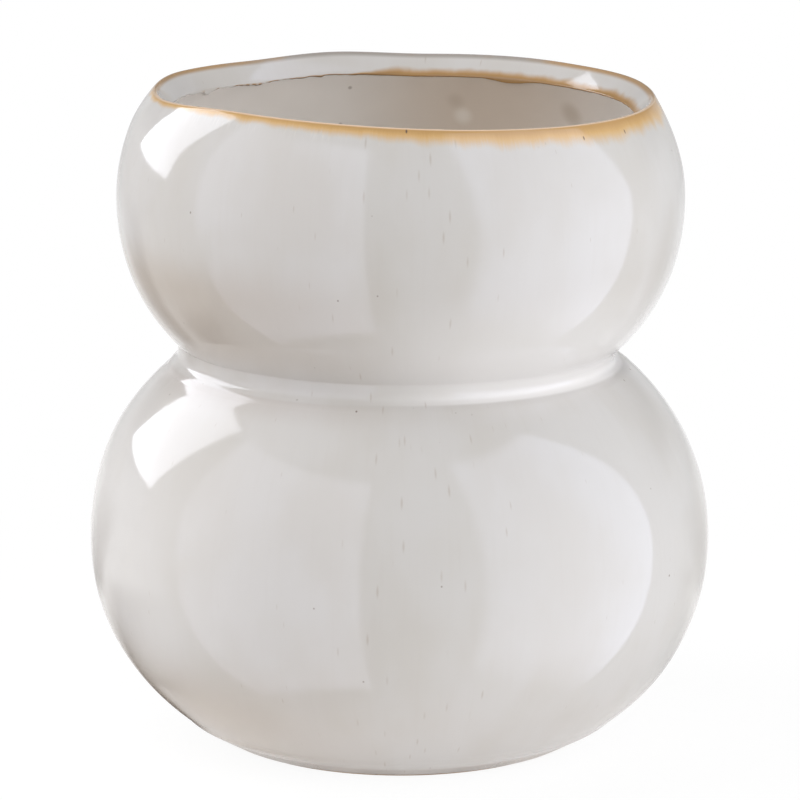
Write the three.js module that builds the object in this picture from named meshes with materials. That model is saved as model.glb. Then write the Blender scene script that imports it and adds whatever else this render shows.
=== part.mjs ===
// A glazed stoneware vase of two stacked bulbs, modelled as a potter puts it together: a base slab, a lower globe,
// a waist collar and an upper bowl, luted with slip, under an outer glaze and a lining glaze.
// Millimetres, +Z up. The origin is the middle of the ring that the vase stands on.
import * as THREE from "three";

// Radii over the glaze, each from the circle before it
const WAIST_RADIUS = 61.6; // collar at its narrowest
const LEDGE_WIDTH = 4.4; // from the collar out to the edge of the globe's ledge
const GLOBE_SWELL = 24; // from the ledge out to the globe's widest circle
const SEAM_INSET = 27.4; // from the globe's widest circle in to the base seam
const FOOT_INSET = 12.6; // from the base seam in to the foot, along the slab's bevel
const BOWL_FLARE = 2; // from the collar out to the foot of the upper bowl
const BOWL_SWELL = 18.1; // from the bowl's foot out to its widest circle
const RIM_INSET = 9.4; // from the bowl's widest circle in to the rim

// Heights over the glaze, each from the level below it
const SLAB_RISE = 6.6; // table to the top of the base slab
const BELLY_RISE = 52.1; // base seam to the globe's widest circle
const SHOULDER_RISE = 51; // globe's widest circle to the ledge
const COLLAR_RISE = 5.7; // ledge to the foot of the upper bowl
const UNDERSIDE_RISE = 42.7; // bowl's foot to its widest circle
const BROW_RISE = 31.6; // bowl's widest circle to the rim

// How full each stretch of wall is: 2 is an ellipse, and more is squarer
const BELLY_FULLNESS = 2.1;
const SHOULDER_FULLNESS = 2.08;
const UNDERSIDE_FULLNESS = 2.16;
const BROW_FULLNESS = 1.88;

// Clay, slip and glaze
const CLAY_WALL = 5.2; // at the widest circle of either bulb
const BASE_WALL = 9.4; // width of the globe's wall where it stands on the slab
const COLLAR_WALL = 5.6;
const SLIP = 0.5; // thickness of a luted seam
const OUTER_COAT = 0.7;
const INNER_COAT = 0.5;
const POOL = 1; // depth of the outer glaze in the corner between ledge and collar
const BOND_GAP = 0.1; // clear space between clay and the glaze that is fused to it

// Lip and foot
const LIP_WIDTH = 5.8; // across the land of the lip, level
const LIP_FALL = 3.9; // from the outer edge of the land down to its inner edge
const LIP_ROUND = 1.2;
const FOOT_LAND = 7; // width of the ring that the vase stands on
const FOOT_HOLLOW = 1.8; // depth of the hollow inside that ring
const HOLLOW_RUN = 2.4; // width of the hollow's sloping side
const GLAZE_LINE = 1.2; // height to which the glaze was wiped off the foot

// The rim sagged in the kiln: it is tilted, and it sways twice around
const RIM_TILT = 1.5;
const TILT_TOWARDS = Math.PI; // side where the tilt lifts the rim, as an angle from +X
const RIM_SWAY = 0.75;
const SWAY_TOWARDS = Math.PI / 4; // one of the two sides where the sway lifts the rim

const SECTORS = 36; // flats around the vase
const ARC_STEPS = 6; // straight steps along each stretch of wall
const ROUND_STEPS = 3;

const ledgeRadius = WAIST_RADIUS + LEDGE_WIDTH;
const globeRadius = ledgeRadius + GLOBE_SWELL;
const seamRadius = globeRadius - SEAM_INSET;
const footRadius = seamRadius - FOOT_INSET;
const bowlFootRadius = WAIST_RADIUS + BOWL_FLARE;
const bowlRadius = bowlFootRadius + BOWL_SWELL;
const rimRadius = bowlRadius - RIM_INSET;

const seamHeight = SLAB_RISE + SLIP;
const globeHeight = seamHeight + BELLY_RISE;
const ledgeHeight = globeHeight + SHOULDER_RISE;
const bowlFootHeight = ledgeHeight + COLLAR_RISE;
const bowlHeight = bowlFootHeight + UNDERSIDE_RISE;
const rimHeight = bowlHeight + BROW_RISE;

const clayDepth = OUTER_COAT + BOND_GAP; // of the clay's outside below the glazed surface
const clayLedge = ledgeHeight - clayDepth;
const clayBowlFoot = bowlFootHeight + clayDepth;
const floorRadius = seamRadius - clayDepth - BASE_WALL;
const throatRadius = WAIST_RADIUS - clayDepth - COLLAR_WALL;
const liningOutset = BOND_GAP; // of the lining's outside from the clay's inside, towards the axis
const liningInset = BOND_GAP + INNER_COAT;

const clay = new THREE.MeshStandardMaterial({ color: 0xb39a80, roughness: 0.9, metalness: 0 });
const slip = new THREE.MeshStandardMaterial({ color: 0xa58c73, roughness: 0.9, metalness: 0 });
const whiteGlaze = new THREE.MeshStandardMaterial({ color: 0xcfcbc8, roughness: 0.1, metalness: 0 });
const beigeGlaze = new THREE.MeshStandardMaterial({ color: 0xb2a496, roughness: 0.25, metalness: 0 });

const circle = (radius, height) => new THREE.Vector2(radius, height);

// A stretch of a bulb's wall in section: part of a superellipse from the widest circle to an end circle.
class BulbArc extends THREE.Curve {
  constructor(widest, end, fullness) {
    super();
    this.widest = widest;
    this.power = 2 / fullness;
    this.sweep = Math.acos((end.x / widest.x) ** (fullness / 2));
    this.reach = (end.y - widest.y) / Math.sin(this.sweep) ** this.power;
  }

  getPoint(t, target = new THREE.Vector2()) {
    const angle = t * this.sweep;
    const radius = this.widest.x * Math.cos(angle) ** this.power;
    return target.set(radius, this.widest.y + this.reach * Math.sin(angle) ** this.power);
  }
}

// A bulb's wall in section, upwards: from its lower circle over the widest one to its upper circle.
function bulb(lower, widest, upper, lowerFullness, upperFullness) {
  const below = new BulbArc(widest, lower, lowerFullness).getPoints(ARC_STEPS).reverse();
  const above = new BulbArc(widest, upper, upperFullness).getPoints(ARC_STEPS);
  return [...below, ...above.slice(1)];
}

// The lip's land falls evenly from the rim inwards.
function landHeight(radius) {
  return rimHeight - (LIP_FALL * (rimRadius - radius)) / LIP_WIDTH;
}

// The globe and the bowl from outside, at a depth below the glazed surface.
function globeOutside(depth) {
  return bulb(
    circle(seamRadius - depth, seamHeight),
    circle(globeRadius - depth, globeHeight),
    circle(ledgeRadius - depth, ledgeHeight - depth),
    BELLY_FULLNESS,
    SHOULDER_FULLNESS,
  );
}

function bowlOutside(depth) {
  const edge = rimRadius - depth;
  return bulb(
    circle(bowlFootRadius - depth, bowlFootHeight + depth),
    circle(bowlRadius - depth, bowlHeight),
    circle(edge, landHeight(edge) - depth),
    UNDERSIDE_FULLNESS,
    BROW_FULLNESS,
  );
}

// The globe and the bowl from inside, at an inset from the clay towards the axis.
function globeInside(inset) {
  return bulb(
    circle(floorRadius - inset, seamHeight + inset),
    circle(globeRadius - clayDepth - CLAY_WALL - inset, globeHeight),
    circle(throatRadius - inset, clayLedge - inset),
    BELLY_FULLNESS,
    SHOULDER_FULLNESS,
  );
}

function bowlInside(inset) {
  const edge = rimRadius - LIP_WIDTH + liningInset - inset;
  return bulb(
    circle(throatRadius - inset, clayBowlFoot + inset),
    circle(bowlRadius - clayDepth - CLAY_WALL - inset, bowlHeight),
    circle(edge, landHeight(edge) - clayDepth),
    UNDERSIDE_FULLNESS,
    BROW_FULLNESS,
  );
}

// The corner between two straight runs of a section, rounded off over a reach along each.
function rounded(before, corner, after, reach) {
  const start = corner.clone().lerp(before, reach / corner.distanceTo(before));
  const end = corner.clone().lerp(after, reach / corner.distanceTo(after));
  return new THREE.QuadraticBezierCurve(start, corner, end).getPoints(ROUND_STEPS);
}

// Lifts and lowers what is above the bowl's widest circle, most at the rim, as the kiln did.
function settle(geometry) {
  const places = geometry.attributes.position;
  for (let i = 0; i < places.count; i += 1) {
    const angle = Math.atan2(places.getY(i), places.getX(i));
    const share = THREE.MathUtils.smoothstep(places.getZ(i), bowlHeight, rimHeight);
    const tilt = RIM_TILT * Math.cos(angle - TILT_TOWARDS);
    const sway = RIM_SWAY * Math.cos(2 * (angle - SWAY_TOWARDS));
    places.setZ(i, places.getZ(i) + share * (tilt + sway));
  }
  return geometry;
}

// A solid turned from its section, which runs up the outside and down the inside. A disc's section starts and
// ends on the axis, and a ring's is closed here.
function turned(name, section, material) {
  const isRing = section[0].x > 0;
  const outline = isRing ? [...section, section[0]] : section;
  const geometry = new THREE.LatheGeometry(outline, SECTORS).rotateX(Math.PI / 2);
  const mesh = new THREE.Mesh(settle(geometry), material);
  mesh.name = name;
  return mesh;
}

// The slab's bevelled edge and the collar's side are straight in section.
function bevelRadius(height) {
  return THREE.MathUtils.mapLinear(height, 0, SLAB_RISE, footRadius, seamRadius - clayDepth);
}

function collarSide(height) {
  const low = WAIST_RADIUS - clayDepth;
  const high = bowlFootRadius - clayDepth;
  return THREE.MathUtils.mapLinear(height, clayLedge, clayBowlFoot, low, high);
}

// A level slice of the wall in the throat, between two heights.
function throatRing(name, bottom, top, material) {
  const section = [
    circle(throatRadius, bottom),
    circle(collarSide(bottom), bottom),
    circle(collarSide(top), top),
    circle(throatRadius, top),
  ];
  return turned(name, section, material);
}

function baseSlab() {
  const landInner = footRadius - FOOT_LAND;
  const section = [
    circle(0, FOOT_HOLLOW),
    circle(landInner - HOLLOW_RUN, FOOT_HOLLOW),
    circle(landInner, 0),
    circle(footRadius, 0),
    circle(bevelRadius(SLAB_RISE), SLAB_RISE),
    circle(0, SLAB_RISE),
  ];
  return turned("base_slab", section, clay);
}

function baseSeam() {
  const section = [
    circle(floorRadius, SLAB_RISE),
    circle(seamRadius - clayDepth, SLAB_RISE),
    circle(seamRadius - clayDepth, seamHeight),
    circle(floorRadius, seamHeight),
  ];
  return turned("base_seam", section, slip);
}

function lowerGlobe() {
  return turned("lower_globe", [...globeOutside(clayDepth), ...globeInside(0).reverse()], clay);
}

function waistCollar() {
  return throatRing("waist_collar", clayLedge + SLIP, clayBowlFoot - SLIP, clay);
}

function upperBowl() {
  return turned("upper_bowl", [...bowlOutside(clayDepth), ...bowlInside(0).reverse()], clay);
}

// One coat from the wiped foot over both bulbs and the lip. It pools in the corner of the ledge.
function outerGlaze() {
  const wipedEdge = bevelRadius(GLAZE_LINE) + BOND_GAP;
  const over = bowlOutside(0);
  const rim = over.pop();
  const lipEdge = circle(rimRadius - LIP_WIDTH, rimHeight - LIP_FALL);
  const face = [
    circle(wipedEdge + OUTER_COAT, GLAZE_LINE),
    circle(seamRadius, SLAB_RISE),
    ...globeOutside(0),
    circle(WAIST_RADIUS, ledgeHeight + POOL),
    ...over,
    ...rounded(over.at(-1), rim, lipEdge, LIP_ROUND),
    lipEdge,
  ];
  const back = [
    circle(wipedEdge, GLAZE_LINE),
    circle(seamRadius - OUTER_COAT, SLAB_RISE),
    ...globeOutside(OUTER_COAT),
    circle(WAIST_RADIUS - OUTER_COAT, ledgeHeight - OUTER_COAT),
    ...bowlOutside(OUTER_COAT),
    circle(lipEdge.x, lipEdge.y - OUTER_COAT),
  ];
  return turned("outer_glaze", [...face, ...back.reverse()], whiteGlaze);
}

// The lining covers the floor and the inside of the walls up to the lip's land.
function innerGlaze() {
  const floorTop = seamHeight + liningInset;
  const back = [
    circle(0, SLAB_RISE),
    circle(floorRadius - liningOutset, SLAB_RISE),
    ...globeInside(liningOutset),
    ...bowlInside(liningOutset),
  ];
  const face = [circle(0, floorTop), ...globeInside(liningInset), ...bowlInside(liningInset)];
  return turned("inner_glaze", [...back, ...face.reverse()], beigeGlaze);
}

const vase = new THREE.Group();
vase.add(
  baseSlab(),
  baseSeam(),
  lowerGlobe(),
  throatRing("lower_waist_seam", clayLedge, clayLedge + SLIP, slip),
  waistCollar(),
  throatRing("upper_waist_seam", clayBowlFoot - SLIP, clayBowlFoot, slip),
  upperBowl(),
  outerGlaze(),
  innerGlaze(),
);

export default vase;
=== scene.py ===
"""A glazed stoneware vase of two stacked bulbs: its clay, its slip and its glazes, in a plain pale studio."""
import math
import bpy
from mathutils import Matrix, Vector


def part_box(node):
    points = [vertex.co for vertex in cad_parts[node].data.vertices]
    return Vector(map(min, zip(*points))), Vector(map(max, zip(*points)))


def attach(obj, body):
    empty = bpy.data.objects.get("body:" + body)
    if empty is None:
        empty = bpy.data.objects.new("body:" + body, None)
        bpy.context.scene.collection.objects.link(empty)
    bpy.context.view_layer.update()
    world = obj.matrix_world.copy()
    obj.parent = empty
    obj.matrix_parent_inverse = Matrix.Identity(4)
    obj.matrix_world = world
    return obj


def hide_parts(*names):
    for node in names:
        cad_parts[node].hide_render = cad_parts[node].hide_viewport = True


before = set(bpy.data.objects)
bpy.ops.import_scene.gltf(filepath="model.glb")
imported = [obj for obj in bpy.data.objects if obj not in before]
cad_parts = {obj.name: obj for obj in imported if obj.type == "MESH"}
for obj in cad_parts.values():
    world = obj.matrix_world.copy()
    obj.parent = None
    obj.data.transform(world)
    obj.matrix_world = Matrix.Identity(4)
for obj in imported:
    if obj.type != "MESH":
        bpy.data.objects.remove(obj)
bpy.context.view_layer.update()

from types import SimpleNamespace

import bmesh
import bpy
from mathutils import Matrix, Vector, noise

bl_info = {
    "name": "Two-bulb stoneware vase",
    "version": (1, 0, 0),
    "blender": (4, 5, 0),
    "location": "View3D > Sidebar > Vase",
    "description": "Builds a glazed stoneware vase of two stacked bulbs, and a plain studio around it",
    "category": "Add Mesh",
}

MM = 0.001
BODY = "root"

# What the frame says of the solids that the pieces stand for
GLAZE_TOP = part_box("outer_glaze")[1]
GLOBE_BOTTOM, GLOBE_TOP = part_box("lower_globe")
BOWL_BOTTOM, BOWL_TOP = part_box("upper_bowl")
SEAM_BOTTOM, SEAM_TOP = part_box("base_seam")
CLAY_DEPTH = GLAZE_TOP[0] - GLOBE_TOP[0]

# How finely the sections are stepped, and the spins turned
BULB_STEPS = 56
ROUND_STEPS = 8
LAND_STEPS = 10
FLOOR_STEPS = 14
GLAZE_TURNS = 360
LINING_TURNS = 180
CLAY_TURNS = 96
HIDDEN_STRIDE = 2
CARD_STEPS = 32
FLOOR_TURNS = 96
SHARP_ANGLE = math.radians(40)
MERGE_DISTANCE = 0.001 * MM

CERAMIC_IOR = 1.5
SENSOR_WIDTH = 36

# Where the walls were left fuller by hand. Turns are in degrees, from the camera's side towards the right.
SWELLS = (
    {"turn": -90, "spread": 80, "height": 92 * MM, "reach": 24 * MM, "push": 0.6 * MM},
    {"turn": 90, "spread": 80, "height": 14 * MM, "reach": 24 * MM, "push": 0.8 * MM},
)

# Where the rim rises out of its even sway
RIM_WAVES = (
    {"turn": -163, "spread": 24, "lift": 1.1 * MM},
    {"turn": 112, "spread": 26, "lift": 0.6 * MM},
    {"turn": -76, "spread": 38, "lift": -1.9 * MM},
    {"turn": 150, "spread": 40, "lift": 0.6 * MM},
)

# Where a drop of the outer glaze hangs over the lip's inner edge
LIP_DROPS = (
    {"turn": 151, "spread": 9, "fall": 1.0 * MM},
    {"turn": -122, "spread": 6, "fall": 0.9 * MM},
    {"turn": -141, "spread": 5, "fall": 0.5 * MM},
)

# Soft spots in the lining, the first of them a painted reflection of a light: where, how far they reach, and
# how strong they are
LINING_SPOTS_AND_PAINTED_REFLECTION = (
    # A painted reflection of a light, pale
    {"place": (19 * MM, 72 * MM, 171.5 * MM), "reach": 4.2 * MM, "colour": "#F4EEE6", "share": 0.7},
    {"place": (17 * MM, 72 * MM, 177 * MM), "reach": 5 * MM, "colour": "#A8957F", "share": 0.35},
    {"place": (52 * MM, 52 * MM, 175.5 * MM), "reach": 6 * MM, "colour": "#A8957F", "share": 0.4},
)


def linear(hex_colour):
    """Turns an sRGB hex colour into the linear RGBA that Blender's sockets take."""
    shares = [int(hex_colour[place:place + 2], 16) / 255 for place in (1, 3, 5)]
    return tuple(s / 12.92 if s <= 0.04045 else ((s + 0.055) / 1.055) ** 2.4 for s in shares) + (1.0,)


def length(name, description, default):
    return bpy.props.FloatProperty(
        name=name, description=description, default=default, unit="LENGTH", precision=5,
    )


def colour(name, description, hex_colour):
    return bpy.props.FloatVectorProperty(
        name=name, description=description, default=linear(hex_colour), size=4, min=0, max=1, subtype="COLOR",
    )


def number(name, description, default):
    return bpy.props.FloatProperty(name=name, description=description, default=default)


class VaseSizes(bpy.types.PropertyGroup):
    """Sizes of the vase, over the glaze unless a description says otherwise."""

    foot_radius: length("Foot radius", "Outer edge of the ring that the vase stands on", 50 * MM)
    foot_land: length("Foot land", "Width of the ring that the vase stands on", 7 * MM)
    foot_hollow: length("Foot hollow", "Depth of the hollow inside that ring", 1.8 * MM)
    hollow_run: length("Hollow run", "Width of the hollow's sloping side", 2.4 * MM)
    glaze_line: length("Glaze line", "Height to which the glaze was wiped off the foot", 1.2 * MM)
    slab_height: length("Slab height", "Top of the base slab", SEAM_BOTTOM[2])
    seam_radius: length("Seam radius", "Circle where the globe stands on the slab", SEAM_TOP[0] + CLAY_DEPTH)
    seam_height: length("Seam height", "Level where the globe begins", GLOBE_BOTTOM[2])
    globe_radius: length("Globe radius", "Widest circle of the lower globe", GLAZE_TOP[0])
    globe_height: length("Globe height", "Level of that circle", 59.2 * MM)
    ledge_radius: length("Ledge radius", "Edge of the ledge on top of the globe", 66 * MM)
    ledge_height: length("Ledge height", "Level of that edge", GLOBE_TOP[2] + CLAY_DEPTH)
    waist_radius: length("Waist radius", "Collar at its narrowest", 61.6 * MM)
    crease_round: length("Crease round", "How far the glaze rounds the crease over the foot", 1.6 * MM)
    pool_reach: length("Pool reach", "How far the pooled glaze rounds the corner of the groove", 3.2 * MM)
    pool_rise: length("Pool rise", "How far the pooled glaze stands up in the corner of the groove", 1.2 * MM)
    ledge_round: length("Ledge round", "Reach of the rounding at the ledge's edge", 1.9 * MM)
    bowl_foot_radius: length("Bowl foot radius", "Foot of the upper bowl", 63.6 * MM)
    bowl_foot_height: length("Bowl foot height", "Level of that foot", BOWL_BOTTOM[2] - CLAY_DEPTH)
    bowl_radius: length("Bowl radius", "Widest circle of the upper bowl", BOWL_TOP[0] + CLAY_DEPTH)
    bowl_height: length("Bowl height", "Level of that circle", 158.6 * MM)
    rim_radius: length("Rim radius", "Outer edge of the lip", 72.3 * MM)
    rim_height: length("Rim height", "Mean level of that edge", 190.2 * MM)
    lip_width: length("Lip width", "Across the land of the lip, level", 5.1 * MM)
    lip_fall: length("Lip fall", "From the lip's outer edge down to its inner one", 6.2 * MM)
    lip_round: length("Lip round", "Reach of the rounding at the lip's outer edge", 1.5 * MM)
    lip_crown: length("Lip crown", "How far the lip's land bulges", 0.12 * MM)
    lip_bead: length("Lip bead", "How far the glaze stands in over the lip's inner edge", 0.35 * MM)
    edge_round: length("Edge round", "Reach of the rounding at the other glazed edges", 0.9 * MM)
    clay_wall: length("Clay wall", "Clay at the widest circle of either bulb", 5.2 * MM)
    base_wall: length("Base wall", "Width of the globe's wall where it stands on the slab", 9.4 * MM)
    collar_wall: length("Collar wall", "Clay of the collar", 5.6 * MM)
    slip: length("Slip", "Thickness of a luted seam", SEAM_TOP[2] - SEAM_BOTTOM[2])
    outer_coat: length("Outer coat", "Thickness of the outer glaze", 0.7 * MM)
    inner_coat: length("Inner coat", "Thickness of the lining", 0.5 * MM)
    bond_gap: length("Bond gap", "Clear space between clay and glaze", 0.1 * MM)
    rim_tilt: length("Rim tilt", "How far the tilted rim is up on its left side", 1.5 * MM)
    rim_sway: length("Rim sway", "How far the rim sways up and down, twice around", 0.75 * MM)
    rim_lean: length("Rim lean", "How far the rim leans in on its left side", 2.1 * MM)
    lean_height: length("Lean height", "Level from which it leans in", 178 * MM)
    belly_fullness: number("Belly fullness", "Lower half of the globe: 2 is an ellipse, more is squarer", 2.1)
    shoulder_fullness: number("Shoulder fullness", "Upper half of the globe", 2.08)
    underside_fullness: number("Underside fullness", "Lower half of the bowl", 2.16)
    brow_fullness: number("Brow fullness", "Upper half of the bowl", 1.88)


class VaseColours(bpy.types.PropertyGroup):
    """Colours of the clay and the glazes, and of light, shade and a highlight painted on the outer glaze."""

    glaze_thick: colour("Thick glaze", "Outer glaze where it lies thick", "#CBC8C6")
    glaze_thin: colour("Thin glaze", "Outer glaze where it ran thin", "#C7C3BF")
    # Painted light, whiter, on the globe's left and in the groove, where glaze also pooled
    glaze_pool_and_painted_light: colour("Pooled glaze", "Outer glaze that pooled in the groove", "#DEDBD9")
    # Painted shade, warm, under both bulbs on the left
    glaze_painted_shade: colour("Warm glaze", "Outer glaze where it hardly hides the clay", "#B9AEA3")
    # Broken glaze at the ledge's edge, and painted shade below it
    glaze_break_and_painted_shade: colour("Broken glaze", "Outer glaze that broke over the edge of the ledge", "#B7ADA8")
    glaze_streak: colour("Glaze streak", "Streaks where the outer glaze ran", "#BDB6AF")
    glaze_hair: colour("Glaze hair", "White hairs under the ochre band", "#E6E2DD")
    iron_speck: colour("Iron speck", "Specks of iron in the glaze", "#6B594B")
    iron_dash: colour("Iron dash", "Specks of iron that ran with the glaze", "#8D7258")
    ochre: colour("Ochre", "Outer glaze that broke over the lip", "#CFA972")
    ochre_deep: colour("Deep ochre", "The same where it broke most", "#B28A55")
    # A painted highlight on the front of the lip's outer edge, over thin glaze
    lip_edge: colour("Lip edge", "Thin glaze on the front of the lip's outer edge", "#E0C6AC")
    lip_grey: colour("Lip grey", "Thin glaze on the back of the lip's outer edge", "#A19A94")
    lip_brown: colour("Lip brown", "Line where outer glaze and lining meet", "#5E4F45")
    lining: colour("Lining", "Lining glaze", "#E2DDD8")
    lining_warm: colour("Warm lining", "Lining glaze where it is warmer", "#E1D4C7")
    lining_speck: colour("Lining speck", "Specks in the lining glaze", "#9A9088")
    clay: colour("Clay", "Bare fired clay", "#B39A80")
    clay_dark: colour("Dark clay", "Bare fired clay where the kiln darkened it", "#9C8268")
    grog: colour("Grog", "Grains in the clay", "#6F5B49")
    slip: colour("Slip", "Bare fired slip", "#A58C73")


class StudioSettings(bpy.types.PropertyGroup):
    """The camera, the floor and the light."""

    camera_back: length("Camera back", "Camera's distance in front of the axis", 1360.3 * MM)
    camera_height: length("Camera height", "Camera's height over the table", 391.9 * MM)
    aim_height: length("Aim height", "Point on the axis in the middle of the picture", 98.56 * MM)
    focal_length: number("Focal length", "Millimetres, on a sensor 36 mm wide", 215.73)
    camera_roll: bpy.props.FloatProperty(
        name="Camera roll", description="Turn of the camera about its line of sight", default=0.0038,
        subtype="ANGLE",
    )
    floor_radius: length("Floor radius", "Size of the floor", 4.0)
    lamp_distance: length("Lamp distance", "From the vase to the lamps", 1.3)
    lamp_width: length("Lamp width", "Width of each square lamp", 1.0)
    room_light: number("Room light", "Strength of the even light from all around", 0.17)
    room_gloss: number("Room gloss", "Strength of the white room in reflections", 0.63)


def mix(start, end, share):
    return start + (end - start) * share


def smooth(value, start, end):
    """Rises from 0 at start to 1 at end, level at both."""
    share = min(max((value - start) / (end - start), 0.0), 1.0)
    return share * share * (3 - 2 * share)


def bulb(lower, widest, upper, lower_fullness, upper_fullness, steps=BULB_STEPS):
    """A bulb's wall in section, upwards: one superellipse below the widest circle and another one above."""
    powers = (2 / lower_fullness, 2 / upper_fullness)
    sweeps = []
    reaches = []
    for end, power in zip((lower, upper), powers):
        sweep = math.acos((end[0] / widest[0]) ** (1 / power))
        sweeps.append(sweep)
        reaches.append(abs(end[1] - widest[1]) / math.sin(sweep) ** power)
    ease = min(sweeps)
    wall = []
    for step in range(steps + 1):
        angle = mix(-sweeps[0], sweeps[1], step / steps)
        share = smooth(angle, -ease, ease)
        power = mix(*powers, share)
        rise = math.copysign(mix(*reaches, share) * abs(math.sin(angle)) ** power, angle)
        wall.append(Vector((widest[0] * math.cos(angle) ** power, widest[1] + rise)))
    return wall


def rounded(before, corner, after, reach, steps=ROUND_STEPS):
    """A corner between two straight runs of a section, rounded off over a reach along each."""
    start = corner + (before - corner).normalized() * reach
    end = corner + (after - corner).normalized() * reach
    curve = []
    for step in range(steps + 1):
        share = step / steps
        curve.append(start.lerp(corner, share).lerp(corner.lerp(end, share), share))
    return curve


def straight(start, end, steps):
    return [start.lerp(end, step / steps) for step in range(steps + 1)]


def land_height(sizes, radius):
    """The lip's land falls evenly from the rim inwards."""
    return sizes.rim_height - sizes.lip_fall * (sizes.rim_radius - radius) / sizes.lip_width


def clay_ledge(sizes):
    return sizes.ledge_height - CLAY_DEPTH


def clay_bowl_foot(sizes):
    return sizes.bowl_foot_height + CLAY_DEPTH


def floor_radius(sizes):
    return sizes.seam_radius - CLAY_DEPTH - sizes.base_wall


def throat_radius(sizes):
    return sizes.waist_radius - CLAY_DEPTH - sizes.collar_wall


def globe_outside(sizes, depth):
    """The globe's outside, at a depth below the glazed surface."""
    return bulb(
        (sizes.seam_radius - depth, sizes.seam_height),
        (sizes.globe_radius - depth, sizes.globe_height),
        (sizes.ledge_radius - depth, sizes.ledge_height - depth),
        sizes.belly_fullness,
        sizes.shoulder_fullness,
    )


def bowl_outside(sizes, depth):
    """The bowl's outside, at a depth below the glazed surface."""
    edge = sizes.rim_radius - depth
    return bulb(
        (sizes.bowl_foot_radius - depth, sizes.bowl_foot_height + depth),
        (sizes.bowl_radius - depth, sizes.bowl_height),
        (edge, land_height(sizes, edge) - depth),
        sizes.underside_fullness,
        sizes.brow_fullness,
    )


def globe_inside(sizes, inset):
    """The globe's inside, at an inset from the clay towards the axis."""
    return bulb(
        (floor_radius(sizes) - inset, sizes.seam_height + inset),
        (sizes.globe_radius - CLAY_DEPTH - sizes.clay_wall - inset, sizes.globe_height),
        (throat_radius(sizes) - inset, clay_ledge(sizes) - inset),
        sizes.belly_fullness,
        sizes.shoulder_fullness,
    )


def bowl_inside(sizes, inset):
    """The bowl's inside, at an inset from the clay towards the axis."""
    edge = sizes.rim_radius - sizes.lip_width + sizes.bond_gap + sizes.inner_coat - inset
    return bulb(
        (throat_radius(sizes) - inset, clay_bowl_foot(sizes) + inset),
        (sizes.bowl_radius - CLAY_DEPTH - sizes.clay_wall - inset, sizes.bowl_height),
        (edge, land_height(sizes, edge) - CLAY_DEPTH),
        sizes.underside_fullness,
        sizes.brow_fullness,
    )


def collar_side(sizes, height):
    """Radius of the collar's clay, which is straight in section."""
    share = (height - clay_ledge(sizes)) / (clay_bowl_foot(sizes) - clay_ledge(sizes))
    return mix(sizes.waist_radius, sizes.bowl_foot_radius, share) - CLAY_DEPTH


def bevel_radius(sizes, height):
    """Radius of the slab's bevelled edge."""
    return mix(sizes.foot_radius, sizes.seam_radius - CLAY_DEPTH, height / sizes.slab_height)


def turn_of(place):
    """Turn in degrees from the camera's side towards the right."""
    return math.degrees(math.atan2(place.x, -place.y))


def near(value, middle, spread):
    """1 at the middle, easing down to 0 at the spread's end."""
    return 1 - smooth(abs(value - middle), 0, spread)


def near_turn(turn, middle, spread):
    return near((turn - middle + 180) % 360, 180, spread)


def settle(sizes, place):
    """Moves a point as the hand and the kiln did: walls fuller here and there, a rim that waves and leans."""
    turn = turn_of(place)
    leftness = (1 - math.sin(math.radians(turn))) / 2
    lean_around, lean_upwards = 1.5, 2
    radius = math.hypot(place.x, place.y)
    push = 0.0
    for swell in SWELLS:
        share = near(place.z, swell["height"], swell["reach"])
        push += swell["push"] * share * near_turn(turn, swell["turn"], swell["spread"])
    lean = max(place.z - sizes.lean_height, 0) / (sizes.rim_height - sizes.lean_height)
    push -= sizes.rim_lean * leftness ** lean_around * min(lean, 1) ** lean_upwards
    lift = sizes.rim_tilt * (2 * leftness - 1)
    lift -= sizes.rim_sway * math.sin(math.radians(2 * turn))
    for wave in RIM_WAVES:
        lift += wave["lift"] * near_turn(turn, wave["turn"], wave["spread"])
    place.z += lift * smooth(place.z, sizes.bowl_height, sizes.rim_height)
    if radius > 0:
        place.x *= 1 + push / radius
        place.y *= 1 + push / radius


def spun(section, turns, **marks):
    """A mesh spun from a section that runs up the outside and down the inside.

    A disc's section starts and ends on the axis, and a ring's is closed here. Each mark holds a value for
    every point of the section, which the spin carries around.
    """
    mesh = bmesh.new()
    for name in marks:
        mesh.verts.layers.float.new(name)
    points = [mesh.verts.new((point[0], 0, point[1])) for point in section]
    for name, values in marks.items():
        layer = mesh.verts.layers.float[name]
        for point, value in zip(points, values):
            point[layer] = value
    edges = [mesh.edges.new(pair) for pair in zip(points, points[1:])]
    if section[0][0] > 0:
        edges.append(mesh.edges.new((points[-1], points[0])))
    bmesh.ops.spin(
        mesh, geom=points + edges, cent=(0, 0, 0), axis=(0, 0, 1), dvec=(0, 0, 0), angle=math.tau,
        steps=turns, use_merge=True,
    )
    bmesh.ops.remove_doubles(mesh, verts=mesh.verts, dist=MERGE_DISTANCE)
    bmesh.ops.recalc_face_normals(mesh, faces=mesh.faces)
    return mesh


def finish_piece(name, mesh, material, node):
    """Turns a bmesh into a smooth piece that stands for a node of the frame."""
    data = bpy.data.meshes.new(name)
    mesh.to_mesh(data)
    mesh.free()
    data.shade_smooth()
    data.set_sharp_from_angle(angle=SHARP_ANGLE)
    data.materials.append(material)
    piece = bpy.data.objects.new(name, data)
    bpy.context.scene.collection.objects.link(piece)
    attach(piece, BODY)
    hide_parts(node)


def new_material(name):
    """An empty material with a Principled shader on its output."""
    material = bpy.data.materials.new(name)
    material.use_nodes = True
    tree = material.node_tree
    tree.nodes.clear()
    shader = tree.nodes.new("ShaderNodeBsdfPrincipled")
    output = tree.nodes.new("ShaderNodeOutputMaterial")
    tree.links.new(shader.outputs[0], output.inputs["Surface"])
    return material, tree, shader


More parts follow.
